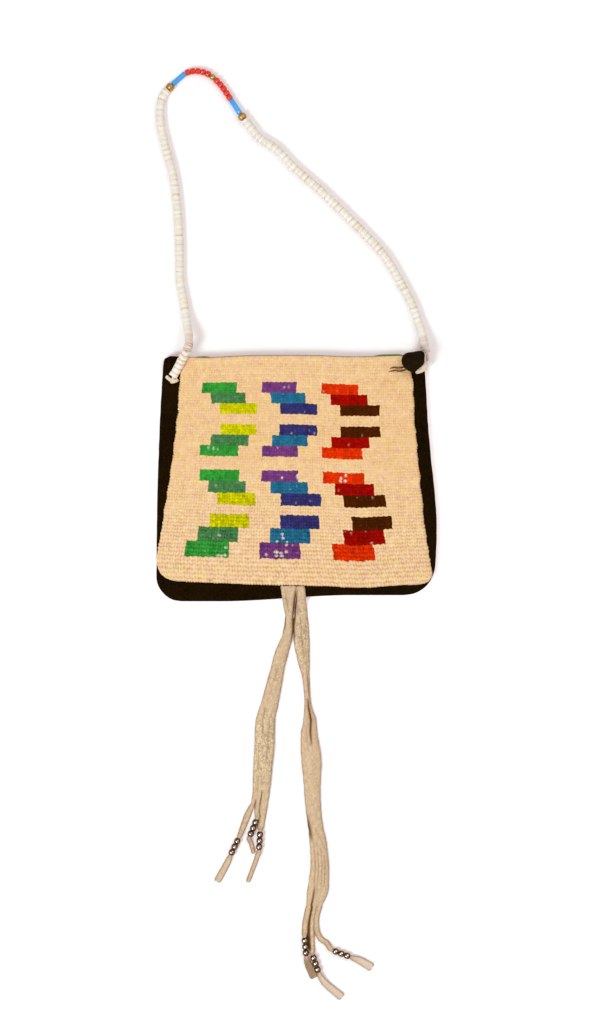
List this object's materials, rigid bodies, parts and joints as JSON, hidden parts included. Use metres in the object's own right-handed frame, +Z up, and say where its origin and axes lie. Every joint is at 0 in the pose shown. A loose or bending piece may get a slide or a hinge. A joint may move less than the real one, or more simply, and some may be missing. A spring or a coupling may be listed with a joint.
{
  "type": "corn husk handbag",
  "caption": "Flat handbag of twined corn husk with stepped coloured bars on a dark leather pouch, with a beaded shoulder strap, a ball button and buckskin tails ending in metal beads.",
  "frame": {"origin": "on the flat back of the pouch, near its middle, at the surface that the bag lies on", "axes": "+Z up from the back to the husk front, +Y from the tails to the strap, +X to the right as seen from the front"},
  "size_m": [0.2524, 0.8385, 0.0286],
  "materials": {
    "dark_leather": "matt suede-like, dark brown",
    "green_cloth": "matt woven cotton",
    "corn_husk": "twined plant fibre, slight sheen, some stitches dyed",
    "shell": "smooth, satin, uneven tint",
    "string": "twisted cotton",
    "brass": "dull, slightly tarnished",
    "blue_glass": "opaque, glossy",
    "red_glass": "glossy",
    "buckskin": "soft, napped, pale tan",
    "black_leather": "wrapped, creased, nearly black",
    "dark_thread": "waxed thread",
    "bead_metal": "smooth, darkened nickel"
  },
  "bodies": {
    "root": {"back_panel": "dark_leather", "ball_button": "black_leather", "brass_bead_1": "brass", "brass_bead_2": "brass", "button_thread_1": "dark_thread", "button_thread_2": "dark_thread", "front_panel": "dark_leather", "husk_panel": "corn_husk", "knot_left": "buckskin", "knot_right": "buckskin", "lining": "green_cloth", "metal_bead_1": "bead_metal", "metal_bead_10": "bead_metal", "metal_bead_11": "bead_metal", "metal_bead_12": "bead_metal", "metal_bead_13": "bead_metal", "metal_bead_14": "bead_metal", "metal_bead_15": "bead_metal", "metal_bead_16": "bead_metal", "metal_bead_17": "bead_metal", "metal_bead_18": "bead_metal", "metal_bead_2": "bead_metal", "metal_bead_3": "bead_metal", "metal_bead_4": "bead_metal", "metal_bead_5": "bead_metal", "metal_bead_6": "bead_metal", "metal_bead_7": "bead_metal", "metal_bead_8": "bead_metal", "metal_bead_9": "bead_metal", "middle_brass_bead_1": "brass", "red_bead_1": "red_glass", "red_bead_10": "red_glass", "red_bead_2": "red_glass", "red_bead_3": "red_glass", "red_bead_4": "red_glass", "red_bead_5": "red_glass", "red_bead_6": "red_glass", "red_bead_7": "red_glass", "red_bead_8": "red_glass", "red_bead_9": "red_glass", "strand_left": "shell", "strand_right": "shell", "strap_string": "string", "tail_left": "buckskin", "tail_right": "buckskin", "tube_bead_1": "blue_glass", "tube_bead_2": "blue_glass"}
  },
  "joints": []
}
